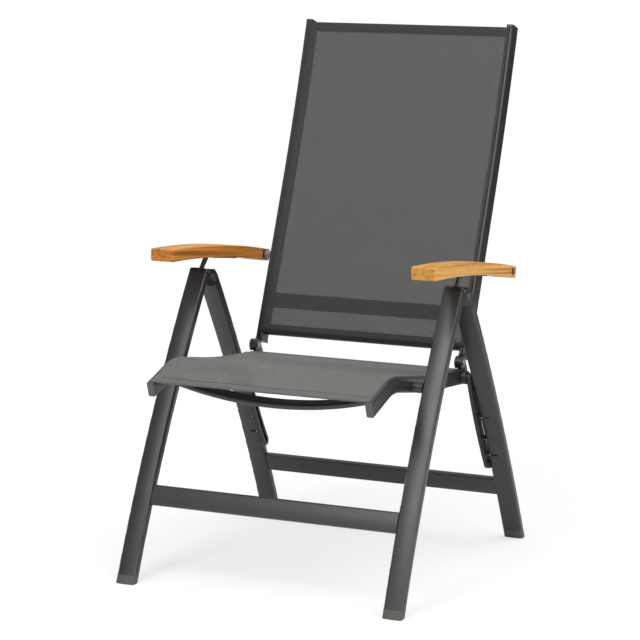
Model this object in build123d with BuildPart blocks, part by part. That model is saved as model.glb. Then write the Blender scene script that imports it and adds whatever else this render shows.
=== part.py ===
from build123d import *
import math
import os

# Reclining garden armchair: two pairs of legs hinged under the arms, a sling seat
# carried between them, a tall sling back hinged to the seat and two wooden arms whose
# toothed racks rest on struts. X is across the chair, the sitter faces -Y and Z is up.
# The floor is at zero. Sides are named as seen from the front: right is +X.

os.makedirs("parts", exist_ok=True)

sides = ((1, "right"), (-1, "left"))

# Fits shared by all the pieces
running_fit = 0.05
side_play = 0.3
plug_fit = 0.1
cloth_gap = 0.3
overrun = 60.0

# Main hinge of the two frames, level with the top of the legs
fold_pivot_y = -46.0
fold_pivot_z = 552.0
fold_deg = 54.0

# Legs: a wide flat tube with a crowned front face, bent in a large arc
feet_width = 600.0
splay_deg = 0.6
leg_wide = 40.0
leg_deep = 18.0
leg_crown = 1.6
leg_corner = 4.0
leg_wall = 1.8
front_leg_radius = 3400.0
front_lean_deg = 33.7
front_leg_ahead = 15.3
rear_leg_radius = 3960.0
rear_lean_deg = 33.0
rear_leg_behind = 4.1
foot_height = 17.0
foot_bevel = 1.2
plug_depth = 25.0

# Crossbars between the legs
front_crossbar_z = 165.5
rear_crossbar_z = 114.0
crossbar_deep = 15.0
crossbar_inset = 3.0

# Top fittings of the legs
cap_groove = 1.4
cap_rise = 8.5
cap_round = 2.8
front_tube_above = -4.0
saddle_wall = 2.5
saddle_above = 9.0
saddle_below = 24.0
cheek_wall = 5.0
cheek_radius = 17.5
rear_seam_below = 38.0
lug_radius = 12.3
lug_shoulder = 6.0
shoulder_radius = 8.2
hinge_bolt_radius = 4.0
hinge_head_radius = 7.5
hinge_head_height = 3.0

# Strut that stands in a slot of the front fitting's cap and carries the arm's rack
strut_wall = 4.5
strut_eye_radius = 6.5
strut_foot_above = 2.0
strut_foot_in = 11.3
strut_foot_radius = 4.5
strut_neck_below = 10.0
strut_neck_radius = 6.0
strut_top_ahead = 15.0
strut_top_above = 45.0
rivet_radius = 2.0
rivet_head_radius = 3.4
rivet_head_height = 1.0
pin_radius = 3.0
pin_bore_radius = 2.0
pin_length = 16.0

# Rails of the seat and the back: an oblong tube with a groove for the cloth's bead
rail_wide = 15.0
seat_rail_deep = 30.0
back_rail_deep = 31.0
rail_corner = 3.0
rail_wall = 1.6
groove_mouth = 2.6
groove_depth = 4.6
groove_radius = 2.6
groove_web = 2.0
rail_cap_wall = 4.0
back_cap_rise = 7.0
rail_plug_depth = 20.0

# Seat, measured from its pivot on the front leg: along its top face, front to rear
seat_pivot_z = 398.5
seat_pivot_spacer = 22.0
seat_spacer_radius = 10.0
seat_bolt_radius = 4.0
seat_bolt_head_radius = 7.0
seat_bolt_head_height = 3.5
seat_bolt_reach = 9.0
nut_radius = 6.8
nut_height = 6.0
seat_nose_ahead = 188.5
seat_nose_above = 5.8
seat_crest_ahead = 91.0
seat_crest_above = 36.4
seat_dip_behind = 79.0
seat_dip_above = 4.9
seat_tail_behind = 267.0
seat_tail_above = -13.2
seat_crest_radius = 130.0
seat_dip_radius = 1185.0
seat_fold_ratio = 1.75

# Bowed stretcher under the front of the seat and the tube at its rear
stretcher_wide = 30.0
stretcher_thick = 12.0
stretcher_ahead = 115.0
stretcher_end_above = 1.0
stretcher_bow = 33.0
stretcher_tilt_deg = 12.0
stretcher_wall = 1.5
oval_share = 0.48
rear_tube_radius = 8.0
rear_tube_wall = 1.5
rear_tube_inset = 30.0
bracket_reach = 9.0
bracket_drop = 3.0
bracket_radius = 6.0
bracket_plug_depth = 30.0
cloth_clearance = 2.2

# Slider at the rear of the seat and the guide rail on the rear leg
slider_behind = 253.0
slider_below = 27.0
slider_boss_radius = 13.3
slider_bolt_radius = 3.0
slider_head_radius = 6.0
slider_head_height = 2.0
knob_radius = 13.3
knob_play = 0.6
knob_round = 1.2
guide_wide = 7.6
guide_deep = 19.0
guide_web = 1.8
guide_groove_slack = 1.0
guide_standoff = 1.5
guide_lug_radius = 9.0
guide_screw_radius = 2.0
guide_screw_head_radius = 3.2
guide_screw_head_height = 1.0
guide_screw_reach = 6.0
guide_lug_shares = (0.1, 0.32, 0.56, 0.79, 1.0)

# Hinge of the back on the seat
back_hinge_behind = 6.0
back_hinge_above = 29.0
hinge_cheek_radius = 11.5
hinge_cheek_wall = 4.5
hinge_tongue_radius = 11.0
hinge_relief_radius = 12.3
tongue_slot_radius = 24.0
tongue_rear_share = 0.45
back_bolt_radius = 3.0
back_bolt_head_radius = 6.5
back_bolt_head_height = 2.0
recline_deg = 27.0

# Back: its rails lean straight up from the hinge and then curve upright
back_lean_deg = 22.6
back_face_behind = 8.8
back_rail_start = 17.5
back_straight = 308.0
back_curve_radius = 4300.0
back_curve_length = 371.0
back_tube_radius = 9.0
back_tube_wall = 1.5
top_tube_below = 7.0
bottom_tube_above = 17.3
bottom_tube_in = 10.0
lumbar_tall = 31.0
lumbar_thick = 12.0
lumbar_above = 83.6
back_rail_inset = 1.8

# Cloth of the seat and the back
cloth_thick = 1.2
cloth_bead_radius = 1.8
cloth_tab = 1.4
seat_cloth_short = 15.0

# Arms, measured from their pivot on the back rail
arm_pivot_behind = 98.0
arm_pivot_above = 172.0
arm_wide = 51.0
arm_thick = 24.5
arm_radius = 2600.0
arm_front_reach = 411.0
arm_rear_reach = 21.0
arm_corner = 3.0
arm_end_corner = 5.0
arm_pin_drop = 6.7
arm_tilt_ratio = 0.4
arm_meet_share = 0.85
arm_spacer_radius = 8.0
arm_bolt_radius = 3.0
arm_bolt_play = 2.5
arm_bolt_head_radius = 7.0
arm_bolt_head_height = 4.0
arm_recess_radius = 8.5
arm_recess_depth = 6.0
end_plate_thick = 3.0
end_plate_ahead = 14.0
end_plate_behind = 17.0
end_plate_half_tall = 8.5
rack_wide = 22.0
rack_depth = 13.0
rack_wall = 2.0
rack_roof = 1.6
rack_pitch = 15.0
rack_teeth = 6
rack_tip_gap = 0.4
rack_front_margin = 24.0
rack_rear_margin = 115.0


def turned(point, centre, degrees):
    """Turns a (y, z) point about a centre as a joint does, clockwise seen from +X."""
    angle = -math.radians(degrees)
    y, z = point[0] - centre[0], point[1] - centre[1]
    return (
        centre[0] + y * math.cos(angle) - z * math.sin(angle),
        centre[1] + y * math.sin(angle) + z * math.cos(angle),
    )


def mixed(first, second, share):
    """The (y, z) point at a share of the way from one point to another."""
    return (first[0] + (second[0] - first[0]) * share, first[1] + (second[1] - first[1]) * share)


def stepped(point, degrees, ahead, beside=0.0):
    """The point ahead along a line that leans back from upright, and beside it rearward."""
    lean = math.radians(degrees)
    return (
        point[0] + ahead * math.sin(lean) + beside * math.cos(lean),
        point[1] + ahead * math.cos(lean) - beside * math.sin(lean),
    )


class Leg:
    """The arc that a leg's front face follows. Its lean grows with height."""

    def __init__(self, way, radius, lean_deg, face_offset):
        self.way = way
        self.radius = radius
        self.pivot_lean = math.radians(lean_deg)
        face_y = fold_pivot_y + way * face_offset * math.cos(self.pivot_lean)
        face_z = fold_pivot_z - face_offset * math.sin(self.pivot_lean)
        self.centre_y = face_y + way * radius * math.cos(self.pivot_lean)
        self.centre_z = face_z - radius * math.sin(self.pivot_lean)

    def lean_at(self, height):
        return math.asin((height - self.centre_z) / self.radius)

    def lean_up(self, distance):
        """The lean at a distance up the leg from the point level with the hinge."""
        return self.pivot_lean + distance / self.radius

    def point(self, lean, behind=0.0):
        """The (y, z) point of the front face at a lean, or behind it."""
        reach = self.radius - self.way * behind
        return (self.centre_y - self.way * reach * math.cos(lean), self.centre_z + reach * math.sin(lean))


front_leg = Leg(1, front_leg_radius, front_lean_deg, -(front_leg_ahead + leg_deep))
rear_leg = Leg(-1, rear_leg_radius, rear_lean_deg, -rear_leg_behind)

# Joint centres in side view, as (y, z)
fold_pivot = (fold_pivot_y, fold_pivot_z)
seat_pivot = front_leg.point(front_leg.lean_at(seat_pivot_z), leg_deep / 2)
slider_point = (seat_pivot[0] + slider_behind, seat_pivot[1] - slider_below)
back_hinge = (slider_point[0] + back_hinge_behind, slider_point[1] + back_hinge_above)
arm_pivot = (back_hinge[0] + arm_pivot_behind, back_hinge[1] + arm_pivot_above)
# The arms swing about a far point that keeps their pivots on the back through the recline
met_pivot = turned(arm_pivot, back_hinge, recline_deg * arm_meet_share)
met_tilt = math.radians(recline_deg * arm_meet_share * arm_tilt_ratio)
met_half = mixed(arm_pivot, met_pivot, 0.5)
swing_share = 0.5 / math.tan(met_tilt / 2)
arm_swing_point = (
    met_half[0] - (arm_pivot[1] - met_pivot[1]) * swing_share,
    met_half[1] - (met_pivot[0] - arm_pivot[0]) * swing_share,
)
strut_top = (fold_pivot_y + strut_top_ahead, fold_pivot_z + strut_top_above)
strut_foot = front_leg.point(front_leg.lean_up(strut_foot_above), strut_foot_in)

# Distances across the chair
splay = math.tan(math.radians(splay_deg))


def leg_inner(height):
    return feet_width / 2 - leg_wide - splay * height


leg_centre = leg_inner(fold_pivot_z) + leg_wide / 2
rail_outer = leg_inner(seat_pivot[1]) - seat_pivot_spacer
rail_inner = rail_outer - rail_wide
back_outer = rail_outer - back_rail_inset
back_inner = back_outer - rail_wide
guide_outer = leg_inner(slider_point[1]) - guide_standoff
guide_inner = guide_outer - guide_wide
arm_inner = leg_centre - arm_wide / 2
arm_outer = leg_centre + arm_wide / 2


def side_plane(x):
    """A plane in side view: its X is +Y, its Y is +Z."""
    return Plane(origin=(x, 0, 0), x_dir=(0, 1, 0), z_dir=(1, 0, 0))


def disc(side, point, radius, near, far, mode=Mode.ADD):
    """Adds a round across the chair, between two distances from its middle."""
    with BuildSketch(side_plane(side * (near + far) / 2)) as face:
        with Locations(point):
            Circle(radius)
    extrude(face.sketch, amount=abs(far - near) / 2, both=True, mode=mode)


def hull_plate(side, circles, near, far, mode=Mode.ADD):
    """Adds a plate in side view that wraps a list of (point, radius) circles."""
    with BuildSketch(side_plane(side * (near + far) / 2)) as face:
        for point, radius in circles:
            with Locations(point):
                Circle(radius)
        make_hull()
    extrude(face.sketch, amount=abs(far - near) / 2, both=True, mode=mode)


def leg_plane(side):
    """The middle plane of a leg, which leans in with the splay."""
    lean = math.radians(splay_deg)
    middle = feet_width / 2 - leg_wide / 2 / math.cos(lean)
    return Plane(
        origin=(side * middle, 0, 0), x_dir=(0, 1, 0), z_dir=(math.cos(lean), 0, side * math.sin(lean))
    )


def inner_face(side, gap=0.0):
    """The plane of a leg's inner side, facing the middle of the chair."""
    plane = leg_plane(side)
    origin = plane.origin - plane.z_dir * side * (leg_wide / 2 + gap)
    return Plane(origin=origin, z_dir=plane.z_dir * -side)


def leg_outline(wide, deep):
    """Draws the crowned oblong of a leg, its front face on the X axis."""
    with BuildLine() as outline:
        Polyline((wide / 2, leg_crown), (wide / 2, deep), (-wide / 2, deep), (-wide / 2, leg_crown))
        ThreePointArc((-wide / 2, leg_crown), (0, 0), (wide / 2, leg_crown))
    make_face(outline.edges())


def leg_sweep(side, leg, low, high, inset=0.0, hollow=False, mode=Mode.ADD):
    """Sweeps a leg's section along its arc between two leans."""
    plane = leg_plane(side)
    with BuildLine(plane) as path:
        ThreePointArc(leg.point(low), leg.point((low + high) / 2), leg.point(high))
    start = plane.from_local_coords(leg.point(low))
    tangent = plane.from_local_coords(
        (leg.point(low)[0] + leg.way * math.sin(low), leg.point(low)[1] + math.cos(low))
    ) - start
    with BuildSketch(Plane(origin=start, x_dir=plane.z_dir, z_dir=tangent)) as section:
        leg_outline(leg_wide, leg_deep)
        fillet(section.vertices(), radius=leg_corner)
        if inset:
            offset(amount=-inset, mode=Mode.REPLACE)
        if hollow:
            offset(amount=-leg_wall, mode=Mode.SUBTRACT)
    sweep(section.sketch, path=path.line, mode=mode)


def leg_cap(side, leg, low, length, rounding):
    """Adds a short straight cap that carries on a leg's section and is rounded at its end."""
    plane = leg_plane(side)
    start = plane.from_local_coords(leg.point(low))
    tangent = plane.from_local_coords(
        (leg.point(low)[0] + leg.way * math.sin(low), leg.point(low)[1] + math.cos(low))
    ) - start
    with BuildSketch(Plane(origin=start, x_dir=plane.z_dir, z_dir=tangent)) as section:
        leg_outline(leg_wide, leg_deep + saddle_wall)
        fillet(section.vertices(), radius=leg_corner)
    block = extrude(section.sketch, amount=length, mode=Mode.PRIVATE)
    add(block.fillet(rounding, block.faces().sort_by(Axis(start, tangent))[-1].edges()))


def saddle_sweep(side, leg, low, high):
    """Sweeps the flat saddle that lies on a leg's rear face."""
    plane = leg_plane(side)
    middle = leg_deep + saddle_wall / 2
    with BuildLine(plane) as path:
        ThreePointArc(leg.point(low, middle), leg.point((low + high) / 2, middle), leg.point(high, middle))
    start = plane.from_local_coords(leg.point(low, middle))
    tangent = plane.from_local_coords(
        (leg.point(low, middle)[0] + math.sin(low), leg.point(low, middle)[1] + math.cos(low))
    ) - start
    with BuildSketch(Plane(origin=start, x_dir=plane.z_dir, z_dir=tangent)) as section:
        Rectangle(leg_wide - 2 * leg_corner, saddle_wall)
    sweep(section.sketch, path=path.line)


def save(builder, name):
    builder.part.label = name
    export_step(builder.part, "parts/" + name + ".step")


front_tube_top = front_leg.lean_up(front_tube_above)
rear_tube_top = rear_leg.lean_up(-rear_seam_below)
cheek_outer = leg_centre + leg_wide / 2
cheek_inner = leg_centre - leg_wide / 2


def slider_in_guide(share):
    """Where the slider lies in the rear frame at a share of the fold."""
    fold = fold_deg * share
    carried = turned(slider_point, seat_pivot, fold * seat_fold_ratio)
    return turned(carried, fold_pivot, -fold)


slider_top, slider_mid, slider_end = (slider_in_guide(share) for share in (0, 0.5, 1))


def guide_point(share):
    """A point on the slider's way down the guide."""
    low = (1 - share) * (1 - 2 * share)
    middle = 4 * share * (1 - share)
    high = share * (2 * share - 1)
    return (
        low * slider_top[0] + middle * slider_mid[0] + high * slider_end[0],
        low * slider_top[1] + middle * slider_mid[1] + high * slider_end[1],
    )


guide_lugs = [guide_point(share) for share in guide_lug_shares]


def guide_outline(reach):
    """The edges of a slot that lies round the slider's way at a reach from it."""
    way = Edge.make_three_point_arc((*slider_top, 0), (*slider_mid, 0), (*slider_end, 0))
    centre = way.arc_center

    def beside(point, distance):
        out = (Vector(*point, 0) - centre).normalized()
        return Vector(*point, 0) + out * distance

    ends = []
    for place, sign in ((0, -1), (1, 1)):
        ends.append((way @ place) + (way % place) * sign * reach)
    with BuildLine() as outline:
        ThreePointArc(beside(slider_top, reach), beside(slider_mid, reach), beside(slider_end, reach))
        ThreePointArc(beside(slider_end, reach), ends[1], beside(slider_end, -reach))
        ThreePointArc(beside(slider_end, -reach), beside(slider_mid, -reach), beside(slider_top, -reach))
        ThreePointArc(beside(slider_top, -reach), ends[0], beside(slider_top, reach))
    return outline.edges()


# Front and rear legs: bent tubes, open at both ends, bored for what they carry
for side, name in sides:
    with BuildPart() as front_leg_tube:
        below_floor = front_leg.lean_at(0) - leg_deep / front_leg_radius
        leg_sweep(side, front_leg, below_floor, front_tube_top, hollow=True)
        split(bisect_by=Plane.XY.offset(foot_height), keep=Keep.TOP)
        disc(
            side, seat_pivot, seat_bolt_radius, leg_inner(seat_pivot[1]) - leg_wall,
            leg_inner(seat_pivot[1]) + leg_wide / 2, Mode.SUBTRACT
        )
    save(front_leg_tube, "front_leg_" + name)

    with BuildPart() as rear_leg_tube:
        below_floor = rear_leg.lean_at(0) - leg_deep / rear_leg_radius
        leg_sweep(side, rear_leg, below_floor, rear_tube_top, hollow=True)
        split(bisect_by=Plane.XY.offset(foot_height), keep=Keep.TOP)
        for lug in guide_lugs:
            disc(
                side, lug, guide_screw_radius, leg_inner(lug[1]) - leg_wall,
                leg_inner(lug[1]) + leg_wide / 2, Mode.SUBTRACT
            )
    save(rear_leg_tube, "rear_leg_" + name)

# Feet: plastic caps, cut flat for the floor, plugged into the tubes
for leg, place in ((front_leg, "front"), (rear_leg, "rear")):
    for side, name in sides:
        floor_lean = leg.lean_at(0)
        plug_lean = leg.lean_at(foot_height + plug_depth)
        with BuildPart() as foot:
            leg_sweep(side, leg, floor_lean - leg_deep / leg.radius, leg.lean_at(foot_height + leg_deep))
            split(bisect_by=Plane.XY, keep=Keep.TOP)
            split(bisect_by=Plane.XY.offset(foot_height), keep=Keep.BOTTOM)
            chamfer(foot.faces().sort_by(Axis.Z)[0].outer_wire().edges(), length=foot_bevel)
            leg_sweep(side, leg, leg.lean_at(foot_height / 2), plug_lean, inset=leg_wall + plug_fit)
        save(foot, place + "_foot_" + name)

# Crossbars: the same tube between the legs, its wide face forward
for leg, height, name in ((front_leg, front_crossbar_z, "front"), (rear_leg, rear_crossbar_z, "rear")):
    lean = leg.lean_at(height)
    face = leg.point(lean, crossbar_inset)
    along = (0, leg.way * math.sin(lean), math.cos(lean))
    with BuildPart() as crossbar:
        with BuildSketch(Plane(origin=(0, *face), x_dir=along, z_dir=(-1, 0, 0))) as section:
            leg_outline(leg_wide, crossbar_deep)
            fillet(section.vertices(), radius=leg_corner)
            offset(amount=-leg_wall, mode=Mode.SUBTRACT)
        extrude(amount=feet_width / 2, both=True)
        for side, _ in sides:
            split(bisect_by=inner_face(side), keep=Keep.TOP)
    save(crossbar, name + "_crossbar")

# Front top fittings: a domed cap plugged into the tube, with a saddle on its rear face,
# two cheeks that hold the main hinge and a slot for the strut
cap_low = front_leg.lean_up(front_tube_above + cap_groove)
plug_low = front_leg.lean_up(front_tube_above - plug_depth)
saddle_low = front_leg.lean_up(-saddle_below)
saddle_high = front_leg.lean_up(saddle_above)
saddle_middle = leg_deep + saddle_wall / 2
cheek_circles = (
    (fold_pivot, cheek_radius),
    (front_leg.point(front_leg.lean_up(-saddle_below + saddle_wall / 2), saddle_middle), saddle_wall / 2),
    (front_leg.point(front_leg.lean_up(saddle_above - saddle_wall / 2), saddle_middle), saddle_wall / 2),
)
strut_near = leg_centre - strut_wall / 2
strut_far = leg_centre + strut_wall / 2
strut_root = ((fold_pivot, strut_eye_radius), (strut_foot, strut_foot_radius))
strut_span = math.dist(strut_top, strut_foot)
strut_neck = mixed(strut_top, strut_foot, strut_neck_below / strut_span)
strut_bar = ((strut_foot, strut_foot_radius), (strut_neck, strut_neck_radius), (strut_top, pin_radius))
rivet_inner = leg_inner(strut_foot[1] + rivet_head_radius)
rivet_outer = leg_inner(strut_foot[1] - rivet_head_radius) + leg_wide
for side, name in sides:
    with BuildPart() as front_top_fitting:
        for near in (cheek_inner, cheek_outer - cheek_wall):
            hull_plate(side, cheek_circles, near, near + cheek_wall)
        leg_sweep(side, front_leg, saddle_low, front_tube_top, inset=-side_play, mode=Mode.SUBTRACT)
        leg_cap(side, front_leg, cap_low, cap_rise, cap_round)
        leg_sweep(side, front_leg, plug_low, cap_low, inset=leg_wall + plug_fit)
        saddle_sweep(side, front_leg, saddle_low, saddle_high)
        disc(side, fold_pivot, hinge_bolt_radius + running_fit, cheek_inner, cheek_outer, Mode.SUBTRACT)
        for circles in (strut_root, strut_bar):
            hull_plate(side, circles, strut_near, strut_far, Mode.SUBTRACT)
        disc(side, strut_foot, rivet_radius, rivet_inner, rivet_outer, Mode.SUBTRACT)
    save(front_top_fitting, "front_top_fitting_" + name)

# Rear top fittings: plugs of the rear tubes whose two tongues turn between the cheeks
seam = rear_leg.lean_up(-rear_seam_below)
rear_plug_low = rear_leg.lean_up(-rear_seam_below - plug_depth)
shoulder = rear_leg.lean_up(-lug_shoulder)
lug_near = cheek_inner + cheek_wall + side_play
lug_far = cheek_outer - cheek_wall - side_play
lug_circles = (
    (fold_pivot, lug_radius),
    (rear_leg.point(rear_leg.lean_up(0), leg_deep / 2), shoulder_radius),
    (rear_leg.point(rear_leg.lean_up(-rear_seam_below / 2), leg_corner), leg_corner),
    (rear_leg.point(rear_leg.lean_up(-rear_seam_below / 2), leg_deep - leg_corner), leg_corner),
)
strut_sweep_radius = math.hypot(rear_leg_behind + leg_deep, lug_shoulder) + side_play
for side, name in sides:
    with BuildPart() as rear_top_fitting:
        leg_sweep(side, rear_leg, seam, shoulder)
        disc(side, fold_pivot, cheek_radius + side_play, cheek_inner - overrun, lug_near, Mode.SUBTRACT)
        disc(side, fold_pivot, cheek_radius + side_play, lug_far, cheek_outer + overrun, Mode.SUBTRACT)
        hull_plate(side, lug_circles, lug_near, lug_far)
        leg_sweep(side, rear_leg, rear_plug_low, seam, inset=leg_wall + plug_fit)
        disc(
            side, fold_pivot, strut_sweep_radius, strut_near - side_play, strut_far + side_play,
            Mode.SUBTRACT
        )
        disc(side, fold_pivot, hinge_bolt_radius + running_fit, lug_near, lug_far, Mode.SUBTRACT)
    save(rear_top_fitting, "rear_top_fitting_" + name)

# Main hinge bolts with a low domed head on the outside and a cap nut inside
with BuildPart() as fold_bolts:
    for side, _ in sides:
        disc(side, fold_pivot, hinge_bolt_radius, cheek_inner, cheek_outer)
        disc(side, fold_pivot, hinge_head_radius, cheek_outer, cheek_outer + hinge_head_height)
        disc(side, fold_pivot, hinge_head_radius, cheek_inner - hinge_head_height, cheek_inner)
save(fold_bolts, "main_hinge_bolts")

# Arm struts: flat bars bolted and riveted in the front fittings, with a pin on top
for side, name in sides:
    with BuildPart() as strut:
        hull_plate(side, strut_root, strut_near, strut_far)
        hull_plate(side, strut_bar, strut_near, strut_far)
        disc(side, fold_pivot, hinge_bolt_radius + running_fit, strut_near, strut_far, Mode.SUBTRACT)
        disc(side, strut_foot, rivet_radius, strut_near, strut_far, Mode.SUBTRACT)
        disc(side, strut_top, pin_bore_radius, strut_near, strut_far, Mode.SUBTRACT)
    save(strut, "arm_strut_" + name)

with BuildPart() as strut_pins:
    for side, _ in sides:
        disc(side, strut_top, pin_bore_radius, strut_near, strut_far)
        disc(side, strut_top, pin_radius, leg_centre - pin_length / 2, strut_near)
        disc(side, strut_top, pin_radius, strut_far, leg_centre + pin_length / 2)
save(strut_pins, "strut_pins")

with BuildPart() as strut_rivets:
    for side, _ in sides:
        disc(side, strut_foot, rivet_radius, rivet_inner, rivet_outer)
        disc(side, strut_foot, rivet_head_radius, rivet_outer, rivet_outer + rivet_head_height)
        disc(side, strut_foot, rivet_head_radius, rivet_inner - rivet_head_height, rivet_inner)
save(strut_rivets, "strut_rivets")

# Guide rails: grooved bars on the inner sides of the rear legs, where the slider runs
guide_groove_radius = slider_bolt_radius + guide_groove_slack
for side, name in sides:
    middle = (guide_inner + guide_outer) / 2
    floor = guide_outer - guide_web
    with BuildPart() as guide:
        with BuildSketch(side_plane(side * middle)):
            make_face(guide_outline(guide_deep / 2))
        extrude(amount=guide_wide / 2, both=True)
        with BuildSketch(side_plane(side * (guide_inner - overrun + floor) / 2)):
            make_face(guide_outline(guide_groove_radius))
        extrude(amount=(floor - guide_inner + overrun) / 2, both=True, mode=Mode.SUBTRACT)
        for lug in guide_lugs:
            disc(side, lug, guide_screw_radius, guide_inner, guide_outer, Mode.SUBTRACT)
            disc(
                side, lug, guide_screw_head_radius, guide_inner, floor + guide_screw_head_height,
                Mode.SUBTRACT
            )
    save(guide, "guide_rail_" + name)

with BuildPart() as guide_spacers:
    for side, _ in sides:
        for lug in guide_lugs:
            disc(side, lug, guide_lug_radius, guide_outer, leg_inner(0) + overrun)
            disc(side, lug, guide_screw_radius, guide_outer, leg_inner(0) + overrun, Mode.SUBTRACT)
    for side, _ in sides:
        split(bisect_by=inner_face(side), keep=Keep.TOP)
save(guide_spacers, "guide_spacers")

with BuildPart() as guide_screws:
    for side, _ in sides:
        floor = guide_outer - guide_web
        for lug in guide_lugs:
            disc(side, lug, guide_screw_head_radius, floor, floor + guide_screw_head_height)
            disc(side, lug, guide_screw_radius, floor, leg_inner(lug[1]) + guide_screw_reach)
save(guide_screws, "guide_screws")

# Seat pivots: a bolt through the rail and a spacer into a nut inside the front leg
with BuildPart() as pivot_spacers:
    for side, _ in sides:
        disc(side, seat_pivot, seat_spacer_radius, rail_outer + side_play, leg_inner(0))
        disc(side, seat_pivot, seat_bolt_radius, rail_outer, leg_inner(0), Mode.SUBTRACT)
    for side, _ in sides:
        split(bisect_by=inner_face(side), keep=Keep.TOP)
save(pivot_spacers, "seat_pivot_spacers")

nut_near = leg_inner(seat_pivot[1]) + leg_corner
with BuildPart() as pivot_bolts:
    for side, _ in sides:
        disc(side, seat_pivot, seat_bolt_radius, rail_inner - side_play, nut_near + seat_bolt_reach)
        disc(
            side, seat_pivot, seat_bolt_head_radius, rail_inner - side_play - seat_bolt_head_height,
            rail_inner - side_play
        )
save(pivot_bolts, "seat_pivot_bolts")

with BuildPart() as pivot_nuts:
    for side, _ in sides:
        with BuildSketch(side_plane(side * (nut_near + nut_height / 2))):
            with Locations(seat_pivot):
                RegularPolygon(nut_radius, 6)
                Circle(seat_bolt_radius, mode=Mode.SUBTRACT)
        extrude(amount=nut_height / 2, both=True)
save(pivot_nuts, "seat_pivot_nuts")


def rail_section(plane, deep):
    """The rail's hollow section: X across, Y in from the face that holds the cloth."""
    with BuildSketch(plane) as section:
        with Locations((0, deep / 2)):
            RectangleRounded(rail_wide, deep, rail_corner)
        bore_start = groove_depth + groove_radius + groove_web
        with Locations((0, (bore_start + deep - rail_wall) / 2)):
            RectangleRounded(
                rail_wide - 2 * rail_wall, deep - rail_wall - bore_start, rail_wall, mode=Mode.SUBTRACT
            )
        with Locations((0, groove_depth)):
            Circle(groove_radius, mode=Mode.SUBTRACT)
        with Locations((0, groove_depth / 2)):
            Rectangle(groove_mouth, groove_depth, mode=Mode.SUBTRACT)
    return section


def rail_plug(plane, deep, length):
    """Adds the tongue of a cap that fills the rail's bore."""
    bore_start = groove_depth + groove_radius + groove_web
    plug_wide = rail_wide - 2 * (rail_wall + plug_fit)
    plug_deep = deep - rail_wall - bore_start - 2 * plug_fit
    with BuildSketch(plane) as section:
        with Locations((0, (bore_start + deep - rail_wall) / 2)):
            RectangleRounded(plug_wide, plug_deep, rail_wall)
    extrude(section.sketch, amount=length)


# Seat rails: the face that holds the cloth is the top one
seat_nose = (seat_pivot[0] - seat_nose_ahead, seat_pivot[1] + seat_nose_above)
seat_crest = (seat_pivot[0] - seat_crest_ahead, seat_pivot[1] + seat_crest_above)
seat_dip = (seat_pivot[0] + seat_dip_behind, seat_pivot[1] + seat_dip_above)
seat_tail = (seat_pivot[0] + seat_tail_behind, seat_pivot[1] + seat_tail_above)
nose_slope = math.atan2(seat_crest[1] - seat_nose[1], seat_crest[0] - seat_nose[0])
tail_slope = math.atan2(seat_tail[1] - seat_dip[1], seat_tail[0] - seat_dip[0])
nose_along = (0, math.cos(nose_slope), math.sin(nose_slope))
tail_along = (0, math.cos(tail_slope), math.sin(tail_slope))


def seat_path(x, short=0.0):
    """Draws the seat's top line in side view, ending short of the rail's tail."""
    last = (seat_tail[0] - short * math.cos(tail_slope), seat_tail[1] - short * math.sin(tail_slope))
    with BuildLine(side_plane(x)) as path:
        FilletPolyline(seat_nose, seat_crest, seat_dip, last, radius=[seat_crest_radius, seat_dip_radius])
    return path


def seat_start(x):
    """The plane across the seat rail's front end, facing rearward."""
    return Plane(origin=(x, *seat_nose), x_dir=(1, 0, 0), z_dir=nose_along)


rail_middle = (rail_inner + rail_outer) / 2
for side, name in sides:
    with BuildPart() as seat_rail:
        path = seat_path(side * rail_middle)
        section = rail_section(seat_start(side * rail_middle), seat_rail_deep)
        sweep(section.sketch, path=path.line)
        disc(side, seat_pivot, seat_bolt_radius + running_fit, rail_inner, rail_outer, Mode.SUBTRACT)
        disc(side, slider_point, slider_bolt_radius, rail_inner, rail_outer, Mode.SUBTRACT)
    save(seat_rail, "seat_rail_" + name)

    with BuildPart() as seat_front_cap:
        nose_plane = seat_start(side * rail_middle)
        with BuildSketch(nose_plane):
            with Locations((0, seat_rail_deep / 2)):
                RectangleRounded(rail_wide, seat_rail_deep, rail_corner)
        extrude(amount=-rail_cap_wall)
        fillet(seat_front_cap.faces().sort_by(Axis.Y)[0].edges(), radius=rail_wall)
        rail_plug(nose_plane, seat_rail_deep, rail_plug_depth)
    save(seat_front_cap, "seat_front_cap_" + name)

# Rear brackets of the seat: plugs that rise past the rail's end into two hinge cheeks
tail_deg = 90 - math.degrees(tail_slope)
bracket_circles = (
    (stepped(seat_tail, tail_deg, rail_corner, seat_rail_deep - rail_corner), rail_corner),
    (stepped(seat_tail, tail_deg, bracket_reach, bracket_drop), bracket_radius),
    (back_hinge, hinge_cheek_radius),
)
tongue_near = rail_inner + hinge_cheek_wall
tongue_far = rail_outer - hinge_cheek_wall
for side, name in sides:
    tail_end = Plane(origin=(side * rail_middle, *seat_tail), x_dir=(1, 0, 0), z_dir=tail_along)
    with BuildPart() as seat_bracket:
        hull_plate(side, bracket_circles, rail_inner, rail_outer)
        with BuildSketch(tail_end):
            with Locations((0, (seat_rail_deep - cloth_clearance) / 2)):
                Rectangle(rail_wide + side_play, seat_rail_deep + cloth_clearance)
        extrude(amount=-overrun, mode=Mode.SUBTRACT)
        rail_plug(tail_end, seat_rail_deep, -bracket_plug_depth)
        disc(side, back_hinge, tongue_slot_radius, tongue_near, tongue_far, Mode.SUBTRACT)
        disc(side, back_hinge, back_bolt_radius + running_fit, rail_inner, rail_outer, Mode.SUBTRACT)
        disc(side, slider_point, slider_bolt_radius, rail_inner, rail_outer, Mode.SUBTRACT)
    save(seat_bracket, "seat_rear_bracket_" + name)

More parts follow.
